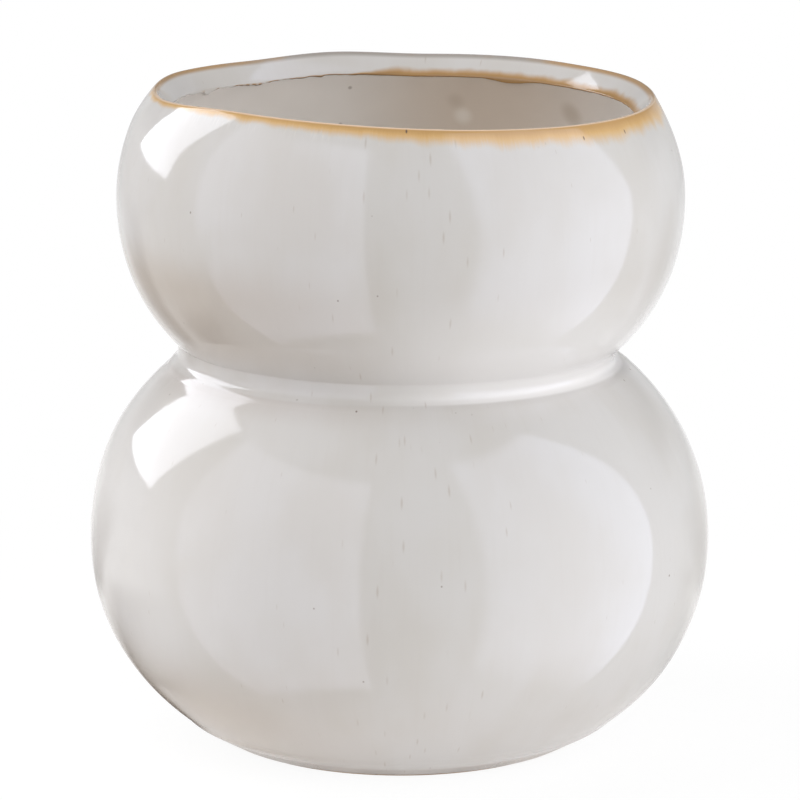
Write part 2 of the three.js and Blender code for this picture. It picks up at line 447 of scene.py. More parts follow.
def add(tree, kind, links, **settings):
    """Adds a node. A link sets a socket, or joins it to a given output or to another node's first output."""
    node = tree.nodes.new(kind)
    for name, value in settings.items():
        setattr(node, name, value)
    for socket, value in links.items():
        if isinstance(value, bpy.types.Node):
            value = next(output for output in value.outputs if output.enabled)
        if isinstance(value, bpy.types.NodeSocket):
            tree.links.new(value, node.inputs[socket])
        else:
            node.inputs[socket].default_value = value
    return node


# Sockets of a Mix node that is set to colours
SHARE, FIRST, SECOND = 0, 6, 7

# Sockets of a Map Range node, which goes from LOW at START to HIGH at END. Left out, each pair is 0 and 1.
START, END, LOW, HIGH = 1, 2, 3, 4

# Settings of a Mix node that mixes colours, and of a Map Range node that is level at both ends
RGBA = {"data_type": "RGBA"}
EASED = {"interpolation_type": "SMOOTHSTEP"}


def share_where(tree, strength, *limits):
    """A strength, held within limits. Each limit lets it in as a value goes from its start to its end."""
    share = strength
    for value, start, end in limits:
        limit = add(tree, "ShaderNodeMapRange", {"Value": value, START: start, END: end}, **EASED)
        share = add(tree, "ShaderNodeMath", {0: share, 1: limit}, operation="MULTIPLY")
    return share


def fired_clay(name, colours, body_colour):
    """Bare stoneware: matt, sandy buff, with dark grains of grog and a slightly torn surface."""
    material, tree, shader = new_material(name)
    place = add(tree, "ShaderNodeTexCoord", {}).outputs["Object"]
    cloud = add(tree, "ShaderNodeTexNoise", {"Vector": place, "Scale": 1 / (22 * MM), "Detail": 4})
    cloud = add(tree, "ShaderNodeMapRange", {"Value": cloud, START: 0.35, END: 0.68}, **EASED)
    tone = add(tree, "ShaderNodeMix", {SHARE: cloud, FIRST: body_colour, SECOND: colours.clay_dark}, **RGBA)
    grain = add(tree, "ShaderNodeTexVoronoi", {"Vector": place, "Scale": 1 / (2.6 * MM)})
    grain = add(tree, "ShaderNodeMapRange", {"Value": grain, START: 0.2, END: 0.08}, **EASED)
    tone = add(tree, "ShaderNodeMix", {SHARE: grain, FIRST: tone, SECOND: colours.grog}, **RGBA)
    sand = add(tree, "ShaderNodeTexNoise", {"Vector": place, "Scale": 1 / (0.7 * MM), "Detail": 3})
    bump = add(tree, "ShaderNodeBump", {"Height": sand, "Strength": 0.6, "Distance": 0.08 * MM})
    tree.links.new(tone.outputs[2], shader.inputs["Base Color"])
    tree.links.new(bump.outputs[0], shader.inputs["Normal"])
    shader.inputs["Roughness"].default_value = 0.88
    shader.inputs["IOR"].default_value = CERAMIC_IOR
    return material


def glaze_places(tree, sizes, land_run, ledge_run):
    """Where a point of the outer glaze lies. Its run goes along the glaze, inwards from the lip's edge."""
    place = add(tree, "ShaderNodeTexCoord", {}).outputs["Object"]
    height = add(tree, "ShaderNodeSeparateXYZ", {0: place}).outputs["Z"]
    flow = add(tree, "ShaderNodeAttribute", {}, attribute_name="flow").outputs["Vector"]
    aside, depth, run = add(tree, "ShaderNodeSeparateXYZ", {0: flow}).outputs
    reach = sizes.globe_radius
    return SimpleNamespace(
        height=height,
        flow=flow,
        aside=aside,
        run=run,
        right=add(tree, "ShaderNodeMapRange", {"Value": aside, START: -reach, END: reach}),
        front=add(tree, "ShaderNodeMapRange", {"Value": depth, START: 0.3 * reach, END: -0.3 * reach}),
        from_ledge=add(tree, "ShaderNodeMath", {0: run, 1: ledge_run}, operation="SUBTRACT"),
        to_lining=add(tree, "ShaderNodeMath", {0: land_run, 1: run}, operation="SUBTRACT"),
    )


def drawn_out(tree, kind, flow, across, along, **links):
    """A pattern whose grains are so wide around the vase and so long down the run of the glaze."""
    scale = (1 / across, 1 / across, 1 / along)
    place = add(tree, "ShaderNodeVectorMath", {0: flow, 1: scale}, operation="MULTIPLY")
    return add(tree, kind, {"Vector": place, "Scale": 1, **links})


def clouds_and_streaks(tree, colours, at):
    """Broad clouds of thicker and thinner glaze, and fine streaks down the wall."""
    cloud = drawn_out(tree, "ShaderNodeTexNoise", at.flow, 30 * MM, 46 * MM, Detail=3)
    cloud = add(tree, "ShaderNodeMapRange", {"Value": cloud, START: 0.36, END: 0.66}, **EASED)
    tone = add(
        tree, "ShaderNodeMix", {SHARE: cloud, FIRST: colours.glaze_thick, SECOND: colours.glaze_thin}, **RGBA,
    )
    streak = drawn_out(tree, "ShaderNodeTexNoise", at.flow, 1.6 * MM, 26 * MM, Detail=3)
    streak = share_where(tree, 0.06, (streak, 0.5, 0.74))
    tone = add(tree, "ShaderNodeMix", {SHARE: streak, FIRST: tone, SECOND: colours.glaze_streak}, **RGBA)
    return tone, cloud


def shade_under_bulbs(tree, colours, at, tone):
    """Painted shade, warm and darker, under both bulbs on the left."""
    bowl = add(tree, "ShaderNodeMath", {0: at.height, 1: 133 * MM}, operation="SUBTRACT")
    bowl = add(tree, "ShaderNodeMath", {0: bowl}, operation="ABSOLUTE")
    bowl = add(tree, "ShaderNodeMapRange", {"Value": bowl, START: 22 * MM, END: 6 * MM}, **EASED)
    globe = add(tree, "ShaderNodeMapRange", {"Value": at.height, START: 46 * MM, END: 18 * MM}, **EASED)
    thin = add(tree, "ShaderNodeMath", {0: bowl, 1: globe}, operation="ADD")
    left = add(tree, "ShaderNodeMapRange", {"Value": at.right, START: 0.5, END: 0.13, LOW: 0.08, HIGH: 0.8})
    thin = add(tree, "ShaderNodeMath", {0: thin, 1: left}, operation="MULTIPLY")
    return add(tree, "ShaderNodeMix", {SHARE: thin, FIRST: tone, SECOND: colours.glaze_painted_shade}, **RGBA)


def pooled_glaze_and_painted_light(tree, colours, at, tone):
    """Painted light, whiter: on the left of the globe, and on the right in and over the groove, where the glaze
    also lies thick.
    """
    globe = add(tree, "ShaderNodeMath", {0: at.height, 1: 66 * MM}, operation="SUBTRACT")
    globe = add(tree, "ShaderNodeMath", {0: globe}, operation="ABSOLUTE")
    globe = share_where(tree, 0.5, (globe, 44 * MM, 8 * MM), (at.right, 0.34, 0.06))
    groove = add(tree, "ShaderNodeMapRange", {"Value": at.right, START: 0.35, END: 0.7, LOW: 0.1}, **EASED)
    groove = share_where(tree, groove, (at.from_ledge, 1 * MM, 2.5 * MM), (at.height, 148 * MM, 117 * MM))
    thick = add(tree, "ShaderNodeMath", {0: globe, 1: groove}, operation="MAXIMUM")
    return add(tree, "ShaderNodeMix", {SHARE: thick, FIRST: tone, SECOND: colours.glaze_pool_and_painted_light}, **RGBA)


def broken_glaze_and_shade_under_ledge(tree, colours, at, tone):
    """Thin and pinkish where it broke over the edge of the ledge, with painted shade in a band down to 9 mm
    below that edge, least on the right.
    """
    left = add(tree, "ShaderNodeMapRange", {"Value": at.right, START: 0.52, END: 0.25, LOW: 0.15})
    below = add(
        tree, "ShaderNodeMapRange", {"Value": at.from_ledge, START: 1.5 * MM, END: 0.5 * MM, HIGH: 0.35},
    )
    broken = add(tree, "ShaderNodeMath", {0: below, 1: left}, operation="MULTIPLY")
    broken = share_where(tree, broken, (at.from_ledge, -9 * MM, 0.5 * MM))
    return add(tree, "ShaderNodeMix", {SHARE: broken, FIRST: tone, SECOND: colours.glaze_break_and_painted_shade}, **RGBA)


def iron_dashes(tree, colours, at, tone):
    """Iron that ran with the glaze: soft dashes that crowd in the middle of the front."""
    crowd = add(tree, "ShaderNodeMath", {0: at.right, 1: 0.52}, operation="SUBTRACT")
    crowd = add(tree, "ShaderNodeMath", {0: crowd}, operation="ABSOLUTE")
    crowd = add(tree, "ShaderNodeMapRange", {"Value": crowd, START: 0.08, END: 0.26, LOW: 0.17, HIGH: 0.07})
    dash = drawn_out(tree, "ShaderNodeTexVoronoi", at.flow, 3.2 * MM, 15 * MM)
    dash = add(tree, "ShaderNodeMath", {0: dash, 1: crowd}, operation="DIVIDE")
    dash = share_where(tree, 0.26, (dash, 1, 0.1))
    return add(tree, "ShaderNodeMix", {SHARE: dash, FIRST: tone, SECOND: colours.iron_dash}, **RGBA)


def ochre_band(tree, colours, at, tone):
    """Ochre down the outside of the lip, wider to the right, with a soft edge and pale hairs under it."""
    band = add(tree, "ShaderNodeMapRange", {"Value": at.right, START: 0.06, LOW: 1.2 * MM, HIGH: 4.2 * MM})
    wobble = drawn_out(tree, "ShaderNodeTexNoise", at.flow, 8 * MM, 30 * MM, Detail=1)
    wobble = add(tree, "ShaderNodeMapRange", {"Value": wobble, START: 0.3, END: 0.7, LOW: 0.85, HIGH: 1.2})
    band = add(tree, "ShaderNodeMath", {0: band, 1: wobble}, operation="MULTIPLY")
    hair = drawn_out(tree, "ShaderNodeTexNoise", at.flow, 0.5 * MM, 5 * MM, Detail=3)
    fringe = add(tree, "ShaderNodeMapRange", {"Value": hair, START: 0.3, END: 0.7, LOW: 0.93, HIGH: 1.07})
    band = add(tree, "ShaderNodeMath", {0: band, 1: fringe}, operation="MULTIPLY")
    outside = (at.run, 0.9 * MM, 0.1 * MM)
    hair = share_where(tree, 0.22, (hair, 0.5, 0.72), (at.run, -7 * MM, -3.5 * MM), outside)
    tone = add(tree, "ShaderNodeMix", {SHARE: hair, FIRST: tone, SECOND: colours.glaze_hair}, **RGBA)
    reach = add(tree, "ShaderNodeMath", {0: at.run, 1: band}, operation="DIVIDE")
    deep = share_where(tree, 0.8, (reach, -1, -0.2))
    deep = add(tree, "ShaderNodeMix", {SHARE: deep, FIRST: colours.ochre, SECOND: colours.ochre_deep}, **RGBA)
    ochre = share_where(tree, 1, (reach, -1.9, -0.7), outside)
    tone = add(tree, "ShaderNodeMix", {SHARE: ochre, FIRST: tone, SECOND: deep}, **RGBA)
    return tone, ochre


def iron_specks(tree, at, ochre):
    """Iron that stayed in place: round pinholes, pits along the ledge's edge and specks in the ochre band."""
    pinhole = add(tree, "ShaderNodeTexVoronoi", {"Vector": at.flow, "Scale": 1 / (13 * MM)})
    pinhole = share_where(tree, 0.6, (pinhole, 0.035, 0.015))
    pit = add(tree, "ShaderNodeTexVoronoi", {"Vector": at.flow, "Scale": 1 / (6 * MM)})
    ledge = add(tree, "ShaderNodeMath", {0: at.from_ledge}, operation="ABSOLUTE")
    pit = share_where(tree, 0.8, (pit, 0.1, 0.05), (ledge, 3.2 * MM, 0.8 * MM))
    speck = drawn_out(tree, "ShaderNodeTexVoronoi", at.flow, 5 * MM, 9 * MM)
    speck = share_where(tree, ochre, (speck, 0.1, 0.04))
    iron = add(tree, "ShaderNodeMath", {0: pinhole, 1: pit}, operation="MAXIMUM")
    return add(tree, "ShaderNodeMath", {0: iron, 1: speck}, operation="MAXIMUM")


def lip_outer_edge(tree, colours, sizes, at, tone):
    """Thin glaze along the lip's outer edge: a pale line in front, which is a painted highlight over the thin
    glaze, and a broader grey and ochre one behind.
    """
    # Painted highlight along the front of the lip's outer edge
    front = add(tree, "ShaderNodeMath", {0: at.run}, operation="ABSOLUTE")
    front = share_where(tree, at.front, (front, 0.8 * MM, 0.3 * MM))
    tone = add(tree, "ShaderNodeMix", {SHARE: front, FIRST: tone, SECOND: colours.lip_edge}, **RGBA)
    reach = sizes.globe_radius
    side = add(tree, "ShaderNodeMath", {0: at.aside}, operation="ABSOLUTE")
    side = add(tree, "ShaderNodeMapRange", {"Value": side, START: 0.4 * reach, END: 0.85 * reach})
    patch = drawn_out(tree, "ShaderNodeTexNoise", at.flow, 12 * MM, 12 * MM, Detail=2)
    patch = add(tree, "ShaderNodeMath", {0: side, 1: 0.8, 2: patch}, operation="MULTIPLY_ADD")
    patch = share_where(tree, 0.75, (patch, 0.5, 1.2))
    patch = add(
        tree, "ShaderNodeMix", {SHARE: patch, FIRST: colours.lip_grey, SECOND: colours.ochre_deep}, **RGBA,
    )
    back = share_where(tree, 1, (at.run, 2.4 * MM, 0.9 * MM), (at.run, -1.5 * MM, 0), (at.front, 0.8, 0.4))
    return add(tree, "ShaderNodeMix", {SHARE: back, FIRST: tone, SECOND: patch}, **RGBA)


def lip_inner_edge(tree, colours, at, tone):
    """Brown and ochre along the lip's inner edge: a dark thread on the left, broad and soft on the right."""
    widths = {LOW: 0.28 * MM, HIGH: 2.2 * MM}
    band = add(tree, "ShaderNodeMapRange", {"Value": at.right, START: 0.36, END: 0.52, **widths}, **EASED)
    rag = drawn_out(tree, "ShaderNodeTexNoise", at.flow, 9 * MM, 9 * MM, Detail=2)
    rag = add(tree, "ShaderNodeMapRange", {"Value": rag, START: 0.3, END: 0.7, LOW: 0.75, HIGH: 1.25})
    band = add(tree, "ShaderNodeMath", {0: band, 1: rag}, operation="MULTIPLY")
    reach = add(tree, "ShaderNodeMath", {0: at.to_lining, 1: band}, operation="DIVIDE")
    dark = add(tree, "ShaderNodeMapRange", {"Value": at.right, START: 0.34, END: 0.5, LOW: 1, HIGH: 0.3})
    dark = share_where(tree, dark, (reach, 0.9, 0.1))
    dark = add(
        tree, "ShaderNodeMix", {SHARE: dark, FIRST: colours.ochre_deep, SECOND: colours.lip_brown}, **RGBA,
    )
    broken = drawn_out(tree, "ShaderNodeTexNoise", at.flow, 5 * MM, 5 * MM, Detail=2)
    broken = add(tree, "ShaderNodeMath", {0: at.right, 1: 1.2, 2: broken}, operation="MULTIPLY_ADD")
    edge = share_where(tree, 1, (reach, 1.6, 0.4), (broken, 0.62, 0.78))
    return add(tree, "ShaderNodeMix", {SHARE: edge, FIRST: tone, SECOND: dark}, **RGBA)


def white_reactive_glaze(colours, sizes, land_run, ledge_run):
    """Reactive stoneware glaze, poured: glossy and off-white where it is thick, faintly streaked where it
    ran, with iron dashes and pinholes, ochre where it broke over the lip and brown where it meets the lining.
    """
    material, tree, shader = new_material("White reactive stoneware glaze")
    at = glaze_places(tree, sizes, land_run, ledge_run)
    tone, cloud = clouds_and_streaks(tree, colours, at)
    # Painted shade under both bulbs on the left
    tone = shade_under_bulbs(tree, colours, at, tone)
    # Painted light on the left of the globe and in the groove
    tone = pooled_glaze_and_painted_light(tree, colours, at, tone)
    # Broken glaze at the ledge's edge, with painted shade below it
    tone = broken_glaze_and_shade_under_ledge(tree, colours, at, tone)
    tone = iron_dashes(tree, colours, at, tone)
    tone, ochre = ochre_band(tree, colours, at, tone)
    iron = iron_specks(tree, at, ochre)
    tone = add(tree, "ShaderNodeMix", {SHARE: iron, FIRST: tone, SECOND: colours.iron_speck}, **RGBA)
    tone = lip_outer_edge(tree, colours, sizes, at, tone)
    tone = lip_inner_edge(tree, colours, at, tone)
    rough = add(tree, "ShaderNodeMapRange", {"Value": cloud, LOW: 0.06, HIGH: 0.1})
    peel = add(tree, "ShaderNodeTexNoise", {"Vector": at.flow, "Scale": 1 / (7 * MM), "Detail": 2})
    peel = add(tree, "ShaderNodeMath", {0: peel, 1: iron}, operation="SUBTRACT")
    bump = add(tree, "ShaderNodeBump", {"Height": peel, "Strength": 0.5, "Distance": 0.05 * MM})
    tree.links.new(tone.outputs[2], shader.inputs["Base Color"])
    tree.links.new(rough.outputs[0], shader.inputs["Roughness"])
    tree.links.new(bump.outputs[0], shader.inputs["Normal"])
    shader.inputs["IOR"].default_value = CERAMIC_IOR
    return material


def beige_lining_glaze(colours):
    """Satin lining glaze: soft beige, warmest at the back, with soft spots and grey specks sunk in it; the pale
    spot is a painted reflection.
    """
    material, tree, shader = new_material("Beige satin lining glaze")
    place = add(tree, "ShaderNodeTexCoord", {}).outputs["Object"]
    aside = add(tree, "ShaderNodeSeparateXYZ", {0: place}).outputs["X"]
    aside = add(tree, "ShaderNodeMath", {0: aside, 1: 26 * MM}, operation="SUBTRACT")
    aside = add(tree, "ShaderNodeMath", {0: aside}, operation="ABSOLUTE")
    warmth = add(tree, "ShaderNodeMapRange", {"Value": aside, START: 50 * MM, END: 4 * MM}, **EASED)
    tone = add(
        tree, "ShaderNodeMix", {SHARE: warmth, FIRST: colours.lining, SECOND: colours.lining_warm}, **RGBA,
    )
    cloud = add(tree, "ShaderNodeTexNoise", {"Vector": place, "Scale": 1 / (14 * MM), "Detail": 1})
    shade = add(tree, "ShaderNodeMapRange", {"Value": cloud, START: 0.25, END: 0.75, HIGH: 0.07})
    tone = add(tree, "ShaderNodeMix", {SHARE: shade, FIRST: tone, SECOND: colours.lining_speck}, **RGBA)
    # Soft spots, the pale one a painted reflection
    for mark in LINING_SPOTS_AND_PAINTED_REFLECTION:
        far = add(tree, "ShaderNodeVectorMath", {0: place, 1: mark["place"]}, operation="DISTANCE")
        spot = share_where(tree, mark["share"], (far.outputs["Value"], mark["reach"], 0.3 * mark["reach"]))
        tone = add(tree, "ShaderNodeMix", {SHARE: spot, FIRST: tone, SECOND: linear(mark["colour"])}, **RGBA)
    speck = add(tree, "ShaderNodeTexVoronoi", {"Vector": place, "Scale": 1 / (11 * MM)})
    speck = share_where(tree, 0.7, (speck, 0.08, 0.03))
    tone = add(tree, "ShaderNodeMix", {SHARE: speck, FIRST: tone, SECOND: colours.lining_speck}, **RGBA)
    rough = add(tree, "ShaderNodeMapRange", {"Value": cloud, LOW: 0.29, HIGH: 0.36})
    peel = add(tree, "ShaderNodeTexNoise", {"Vector": place, "Scale": 1 / (4 * MM), "Detail": 3})
    bump = add(tree, "ShaderNodeBump", {"Height": peel, "Strength": 0.1, "Distance": 0.04 * MM})
    tree.links.new(tone.outputs[2], shader.inputs["Base Color"])
    tree.links.new(rough.outputs[0], shader.inputs["Roughness"])
    tree.links.new(bump.outputs[0], shader.inputs["Normal"])
    shader.inputs["IOR"].default_value = CERAMIC_IOR
    return material


class VASE_OT_clay_body(bpy.types.Operator):
    """Builds the clay of the vase: base slab, lower globe, waist collar and upper bowl"""

    bl_idname = "vase.clay_body"
    bl_label = "Clay body"
    bl_options = {"REGISTER", "UNDO"}

    def execute(self, context):
        sizes = context.scene.vase_sizes
        colours = context.scene.vase_colours
        clay = fired_clay("Bare fired stoneware", colours, colours.clay)
        pieces = {
            "base_slab": ("foot_disc", self.base_slab(sizes)),
            "lower_globe": ("globe_wall", self.wall(globe_outside, globe_inside, sizes)),
            "waist_collar": ("collar_ring", self.collar(sizes)),
            "upper_bowl": ("bowl_wall", self.wall(bowl_outside, bowl_inside, sizes)),
        }
        for node, (name, section) in pieces.items():
            mesh = spun(section, CLAY_TURNS)
            for vert in mesh.verts:
                settle(sizes, vert.co)
            finish_piece(name, mesh, clay, node)
        return {"FINISHED"}

    def base_slab(self, sizes):
        """A disc with a bevelled edge. Its underside is hollowed, and keeps the rings of the turning tool."""
        ring_pitch = 2.2 * MM
        ring_depth = 0.09 * MM
        ring_steps = 5
        land_inner = sizes.foot_radius - sizes.foot_land
        hollow_radius = land_inner - sizes.hollow_run
        count = round(hollow_radius / ring_pitch) * ring_steps
        hollow = []
        for step in range(count + 1):
            radius = hollow_radius * step / count
            lift = ring_depth * math.cos(math.tau * radius / ring_pitch)
            hollow.append(Vector((radius, sizes.foot_hollow + lift)))
        inner_edge = Vector((land_inner, 0))
        outer_edge = Vector((sizes.foot_radius, 0))
        top_edge = Vector((bevel_radius(sizes, sizes.slab_height), sizes.slab_height))
        middle = Vector((0, sizes.slab_height))
        return [
            *hollow,
            *rounded(hollow[-1], inner_edge, outer_edge, sizes.edge_round),
            *rounded(inner_edge, outer_edge, top_edge, sizes.edge_round / 2),
            top_edge,
            middle,
        ]

    def wall(self, outside, inside, sizes):
        return outside(sizes, CLAY_DEPTH)[::HIDDEN_STRIDE] + inside(sizes, 0)[::-HIDDEN_STRIDE]

    def collar(self, sizes):
        bottom = clay_ledge(sizes) + sizes.slip
        top = clay_bowl_foot(sizes) - sizes.slip
        return throat_ring(sizes, bottom, top)


def throat_ring(sizes, bottom, top):
    """A level slice of the wall in the throat, between two heights."""
    throat = throat_radius(sizes)
    return [
        Vector((throat, bottom)),
        Vector((collar_side(sizes, bottom), bottom)),
        Vector((collar_side(sizes, top), top)),
        Vector((throat, top)),
    ]


class VASE_OT_slip_seams(bpy.types.Operator):
    """Builds the luted seams between slab, globe, collar and bowl"""

    bl_idname = "vase.slip_seams"
    bl_label = "Slip seams"
    bl_options = {"REGISTER", "UNDO"}

    def execute(self, context):
        sizes = context.scene.vase_sizes
        colours = context.scene.vase_colours
        slip = fired_clay("Fired luting slip", colours, colours.slip)
        inner = floor_radius(sizes)
        outer = sizes.seam_radius - CLAY_DEPTH
        ledge = clay_ledge(sizes)
        foot = clay_bowl_foot(sizes)
        base = [
            Vector((inner, sizes.slab_height)),
            Vector((outer, sizes.slab_height)),
            Vector((outer, sizes.seam_height)),
            Vector((inner, sizes.seam_height)),
        ]
        seams = {
            "base_seam": ("slab_luting", base),
            "lower_waist_seam": ("ledge_luting", throat_ring(sizes, ledge, ledge + sizes.slip)),
            "upper_waist_seam": ("bowl_luting", throat_ring(sizes, foot - sizes.slip, foot)),
        }
        for node, (name, section) in seams.items():
            finish_piece(name, spun(section, CLAY_TURNS), slip, node)
        return {"FINISHED"}


class VASE_OT_outer_glaze(bpy.types.Operator):
    """Builds the off-white glaze from the wiped foot over both bulbs and the lip"""

    bl_idname = "vase.outer_glaze"
    bl_label = "Outer glaze"
    bl_options = {"REGISTER", "UNDO"}

    def execute(self, context):
        sizes = context.scene.vase_sizes
        colours = context.scene.vase_colours
        below, groove, over, land, bead = self.face(sizes)
        face = below + groove + over + land + bead
        back = self.back(sizes)
        lip_edge = len(below + groove + over) + ROUND_STEPS // 2
        runs = [0.0]
        for start, end in zip(face, face[1:]):
            runs.append(runs[-1] + (end - start).length)
        runs = [run - runs[lip_edge] for run in runs]
        groove_runs = runs[len(below):len(below + groove)]
        groove_length = groove_runs[-1] - groove_runs[0]
        fills = [-1.0] * len(below) + [(run - groove_runs[0]) / groove_length for run in groove_runs]
        fills += [-1.0] * (len(face + back) - len(fills))
        hangs = [0.0] * len(below + groove + over + land)
        hangs += [step / (len(bead) - 1) for step in range(len(bead))]
        hangs += [0.0] * len(back)
        mesh = spun(face + back, GLAZE_TURNS, run=runs + [runs[-1]] * len(back), fill=fills, hang=hangs)
        layers = mesh.verts.layers
        run, fill, hang = layers.float["run"], layers.float["fill"], layers.float["hang"]
        flow = layers.float_vector.new("flow")
        for vert in mesh.verts:
            around = Vector((vert.co.x, vert.co.y, 0)).normalized()
            if vert[fill] >= 0:
                self.fill_groove(groove[0].lerp(groove[-1], vert[fill]), vert.co, around)
            if vert[hang] > 0:
                vert.co.z -= vert[hang] * self.hanging(around)
            settle(sizes, vert.co)
            vert[flow] = around * sizes.globe_radius + Vector((0, 0, vert[run]))
        for name in ("run", "fill", "hang"):
            layers.float.remove(layers.float[name])
        glaze = white_reactive_glaze(colours, sizes, runs[-1], groove_runs[ROUND_STEPS // 2])
        finish_piece("white_glaze_coat", mesh, glaze, "outer_glaze")
        return {"FINISHED"}

    def face(self, sizes):
        """The glazed surface in section, upwards, in five runs: globe, groove, bowl, lip and its bead."""
        wiped_radius = bevel_radius(sizes, sizes.glaze_line) + sizes.bond_gap + sizes.outer_coat
        wiped = Vector((wiped_radius, sizes.glaze_line))
        crease = Vector((sizes.seam_radius, sizes.slab_height))
        globe = globe_outside(sizes, 0)
        bowl = bowl_outside(sizes, 0)
        ledge = globe[-1]
        corner = Vector((sizes.waist_radius - CLAY_DEPTH, sizes.ledge_height + sizes.pool_rise))
        foot = bowl[0]
        rim = bowl[-1]
        inner_edge = Vector((sizes.rim_radius - sizes.lip_width, sizes.rim_height - sizes.lip_fall))
        below = [wiped, *rounded(wiped, crease, globe[1], sizes.crease_round), *globe[1:-2]]
        groove = [
            *rounded(globe[-3], ledge, corner, sizes.ledge_round),
            *rounded(ledge, corner, foot, sizes.pool_reach, 2 * ROUND_STEPS),
            *rounded(corner, foot, bowl[2], sizes.edge_round),
        ]
        over = bowl[1:-1]
        lip = rounded(over[-1], rim, inner_edge, sizes.lip_round)
        fall = (inner_edge - rim).normalized()
        upwards = Vector((fall.y, -fall.x))
        land = list(lip)
        for step in range(1, LAND_STEPS + 1):
            share = step / LAND_STEPS
            crown = sizes.lip_crown * math.sin(math.pi * share)
            land.append(lip[-1].lerp(inner_edge, share) + upwards * crown)
        overhang = Vector((inner_edge.x - sizes.lip_bead, inner_edge.y - sizes.lip_bead))
        under = Vector((inner_edge.x - sizes.bond_gap, inner_edge.y - sizes.outer_coat))
        bead = rounded(inner_edge, overhang, under, sizes.lip_bead)
        return below, groove, over, land, bead

    def back(self, sizes):
        """The other side of the coat, downwards."""
        coat = sizes.outer_coat
        edge = Vector((sizes.rim_radius - sizes.lip_width, sizes.rim_height - sizes.lip_fall - coat))
        return [
            edge,
            *bowl_outside(sizes, coat)[::-HIDDEN_STRIDE],
            Vector((sizes.waist_radius - coat, sizes.ledge_height - coat)),
            *globe_outside(sizes, coat)[::-HIDDEN_STRIDE],
            Vector((sizes.seam_radius - coat, sizes.slab_height)),
            Vector((bevel_radius(sizes, sizes.glaze_line) + sizes.bond_gap, sizes.glaze_line)),
        ]

    def hanging(self, around):
        """How far the glaze hangs over the lip's inner edge: small drips on the left, and a few drops."""
        lip_circle = 66 * MM
        drip_width = 3.2 * MM
        drip_fall = 0.9 * MM
        drip_level = -0.25
        right_drips, left_drips = 0.15, 0.8
        place = around * (lip_circle / drip_width)
        drips = noise.noise(place) + noise.noise(2 * place) / 2
        share = mix(right_drips, left_drips, smooth(-around.x, 0.1, 0.5))
        fall = drip_fall * share * max(drips - drip_level, 0)
        turn = turn_of(around)
        for drop in LIP_DROPS:
            fall += drop["fall"] * near_turn(turn, drop["turn"], drop["spread"])
        return fall

    def fill_groove(self, level, place, around):
        """The glaze ran down one side and nearly filled the groove there, up to a level."""
        full = 0.7
        amount = full * (1 - around.x) / 2
        radius = mix(math.hypot(place.x, place.y), level.x, amount)
        place.x = radius * around.x
        place.y = radius * around.y
        place.z = mix(place.z, level.y, amount)


class VASE_OT_inner_glaze(bpy.types.Operator):
    """Builds the beige lining over the floor and the inside of the walls"""

    bl_idname = "vase.inner_glaze"
    bl_label = "Inner glaze"
    bl_options = {"REGISTER", "UNDO"}

    def execute(self, context):
        sizes = context.scene.vase_sizes
        colours = context.scene.vase_colours
        outset = sizes.bond_gap
        inset = sizes.bond_gap + sizes.inner_coat
        back = [
            Vector((0, sizes.slab_height)),
            Vector((floor_radius(sizes) - outset, sizes.slab_height)),
            *globe_inside(sizes, outset)[::HIDDEN_STRIDE],
            *bowl_inside(sizes, outset)[::HIDDEN_STRIDE],
        ]
        middle = Vector((0, sizes.seam_height + inset))
        floor = straight(middle, globe_inside(sizes, inset)[0], FLOOR_STEPS)
        face = floor[:-1] + globe_inside(sizes, inset) + bowl_inside(sizes, inset)
        mesh = spun(back + face[::-1], LINING_TURNS)
        for vert in mesh.verts:
            settle(sizes, vert.co)
        finish_piece("beige_lining_coat", mesh, beige_lining_glaze(colours), "inner_glaze")
        return {"FINISHED"}


def towards(turn, rise):
    """The direction at a turn from the camera's side towards the right, and a rise over level, in degrees."""
    turn = math.radians(turn)
    rise = math.radians(rise)
    return Vector((math.sin(turn) * math.cos(rise), -math.cos(turn) * math.cos(rise), math.sin(rise)))


# White cards around the vase, as a photographer stands them to put soft windows on a glossy surface. Each
# stands at a distance, and spans turns at its foot, turns at its top and rises, as seen from the vase. It glows
# by gains over the white room, from its left edge to its right one, and fades at its left, right, low and high
# edges over a share of its own width or height. A bow draws in its right edge upwards.
CARDS = (
    {
        "name": "left_card", "distance": 12.0, "bow": 0.0, "colour": "#E6E9FF",
        "turns": (-90.5, -13), "top_turns": (-90.5, -13), "rises": (-62, 50),
        "gains": (0.95, 1.7), "fades": (0.04, 0.03, 0.05, 0.05),
    },
    {
        "name": "right_card", "distance": 12.0, "bow": 0.0075, "colour": "#DEE5FF",
        "turns": (30, 106.5), "top_turns": (25, 106.5), "rises": (-60, 58),
        "gains": (1.75, 2.15), "fades": (0.1, 0.02, 0.24, 0.05),
    },
    {
        "name": "key_card", "distance": 0.9, "bow": 0.0, "colour": "#F2F5FF",
        "turns": (-136.5, -106.3), "top_turns": (-131.5, -92.5), "rises": (8.3, 45.5),
        "gains": (4.2, 4.2), "fades": (0.02, 0.02, 0.02, 0.02),
    },
)

# Lamps that light the vase but don't show in its gloss
LAMPS = (
    {"name": "left_high_lamp", "turn": -90, "rise": 50, "power": 10.0, "colour": "#FAFBFD"},
    {"name": "left_low_lamp", "turn": -90, "rise": 12, "power": 8.4, "colour": "#FAFBFD"},
    {"name": "front_lamp", "turn": 12, "rise": 30, "power": 4.3, "colour": "#FFFBF1"},
    {"name": "right_lamp", "turn": 55, "rise": 15, "power": 10.4, "colour": "#F3F8FF"},
    {"name": "right_side_lamp", "turn": 100, "rise": 15, "power": 5.2, "colour": "#FFFFFF"},
    {"name": "back_lamp", "turn": 180, "rise": 40, "power": 2.8, "colour": "#FFFFFF"},
)


